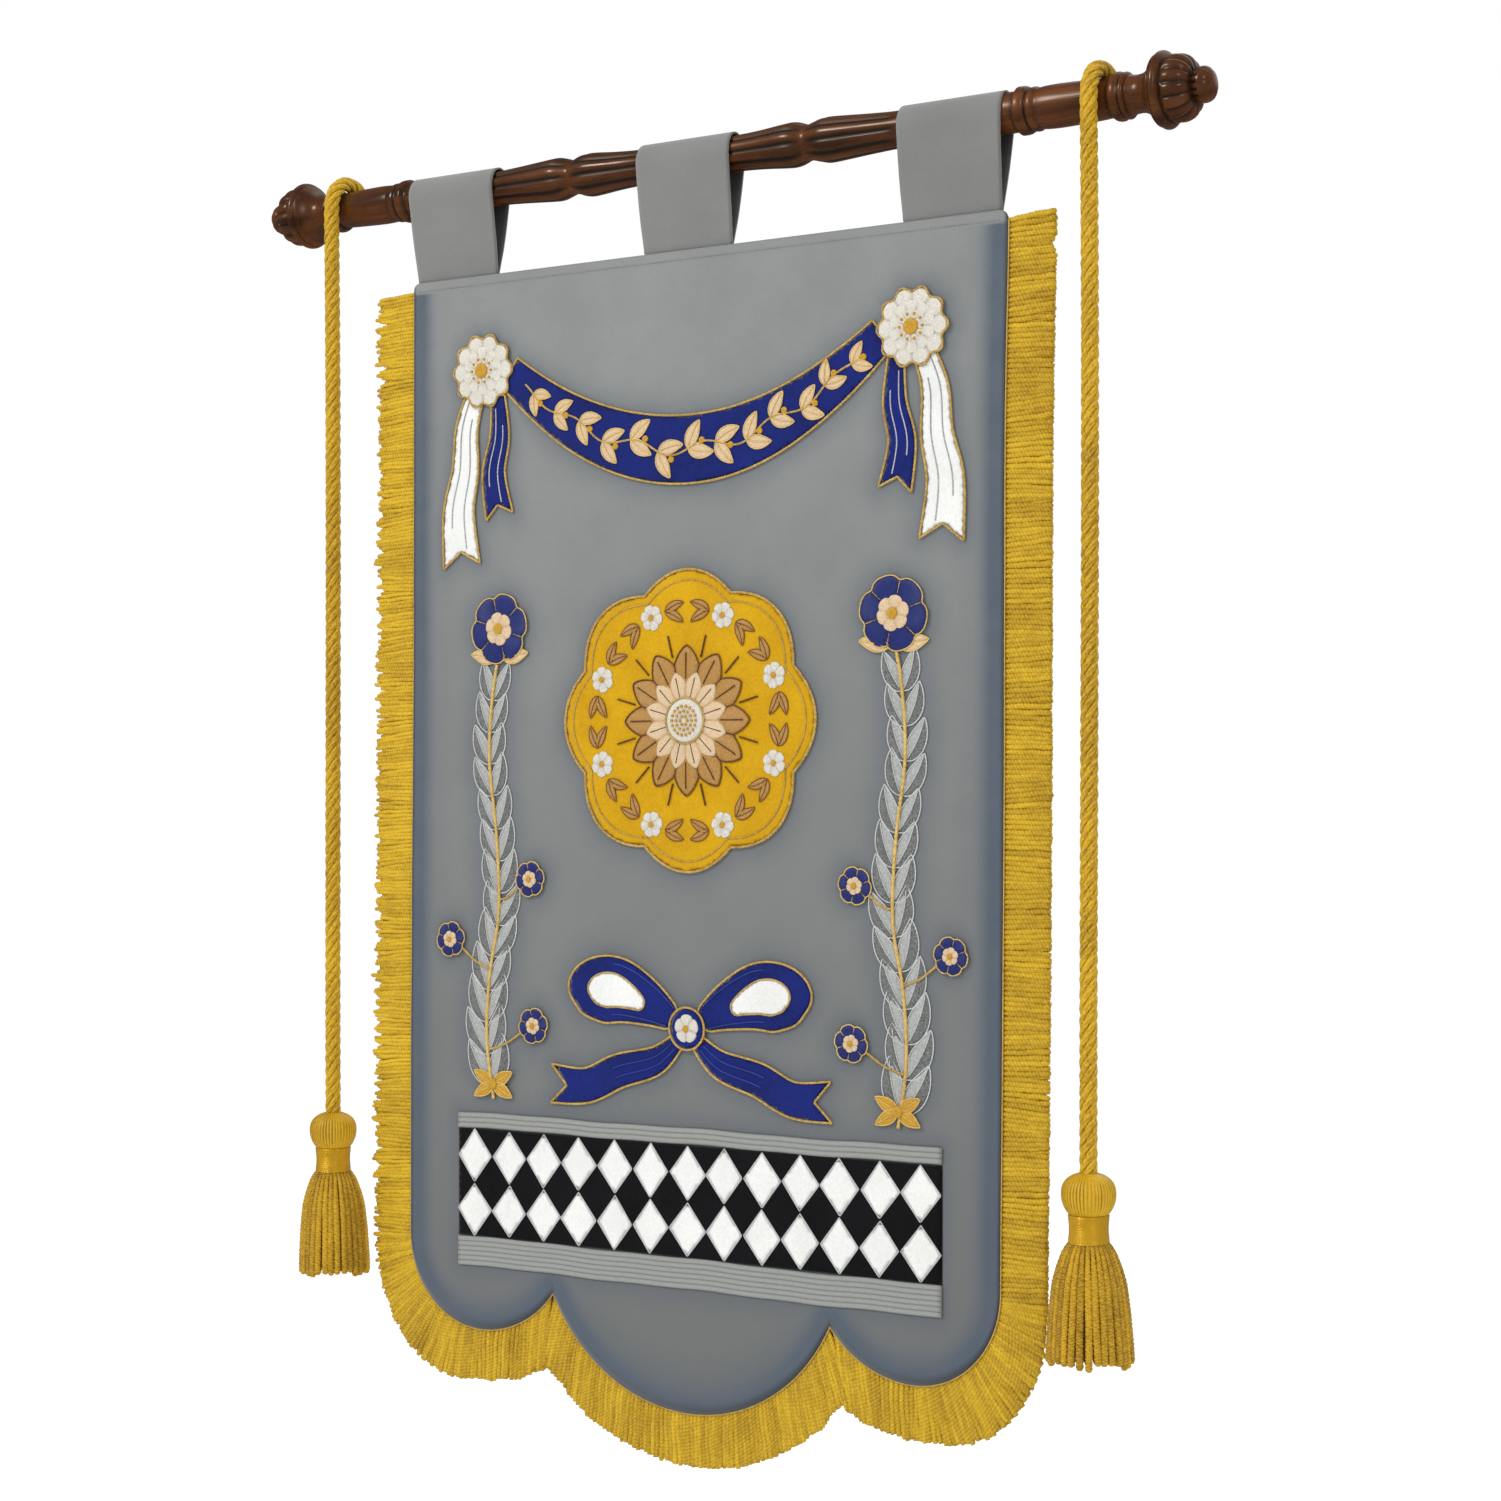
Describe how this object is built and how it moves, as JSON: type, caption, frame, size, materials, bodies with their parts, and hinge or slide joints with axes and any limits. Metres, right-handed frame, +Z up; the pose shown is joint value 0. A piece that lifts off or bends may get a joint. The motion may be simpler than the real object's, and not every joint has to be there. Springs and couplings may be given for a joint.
{
  "type": "fringed lodge banner on a turned crossbar",
  "caption": "Tall grey cloth banner with a scalloped foot, gold fringe and sewn-on ornament, hung by tabs from a turned wooden crossbar with tasselled cords at its ends.",
  "frame": {"origin": "middle of the crossbar's axis, where a stand or wall bracket carries the bar", "axes": "+X along the crossbar to the viewer's right, +Y backwards into the wall, +Z up; the cloth's front faces -Y"},
  "size_m": [1.0075, 0.0937, 1.2044],
  "materials": {
    "dark_wood": "glossy dark stained hardwood",
    "grey_cloth": "matt fine plain weave with soft blue-grey shading",
    "gold_fringe": "twisted yarn fringe",
    "gold_cord": "twisted silky cord and bound tassels",
    "blue_felt": "matt royal blue cloth",
    "white_felt": "matt white cloth",
    "yellow_felt": "matt bright yellow cloth",
    "tan_thread": "satin stitch in pale tan thread",
    "black_felt": "matt black cloth",
    "silver_braid": "flat silver-grey braid"
  },
  "bodies": {
    "root": {"crossbar": "dark_wood", "finial_left": "dark_wood", "finial_right": "dark_wood", "panel": "grey_cloth", "tab_left": "grey_cloth", "tab_middle": "grey_cloth", "tab_right": "grey_cloth", "fringe_left": "gold_fringe", "fringe_right": "gold_fringe", "fringe_bottom": "gold_fringe", "cord_left": "gold_cord", "cord_right": "gold_cord", "tassel_head_left": "gold_cord", "tassel_neck_left": "gold_cord", "tassel_skirt_left": "gold_cord", "tassel_head_right": "gold_cord", "tassel_neck_right": "gold_cord", "tassel_skirt_right": "gold_cord", "swag": "blue_felt", "swag_tail_inner_left": "blue_felt", "swag_tail_inner_right": "blue_felt", "swag_tail_outer_left": "white_felt", "swag_tail_outer_right": "white_felt", "rosette_left": "white_felt", "rosette_right": "white_felt", "medallion": "yellow_felt", "medallion_flower": "tan_thread", "medallion_boss": "white_felt", "bow_loop_left": "blue_felt", "bow_loop_right": "blue_felt", "bow_tail_left": "blue_felt", "bow_tail_right": "blue_felt", "bow_knot": "blue_felt", "lozenge_band": "black_felt", "braid_top": "silver_braid", "braid_bottom": "silver_braid"}
  },
  "joints": []
}
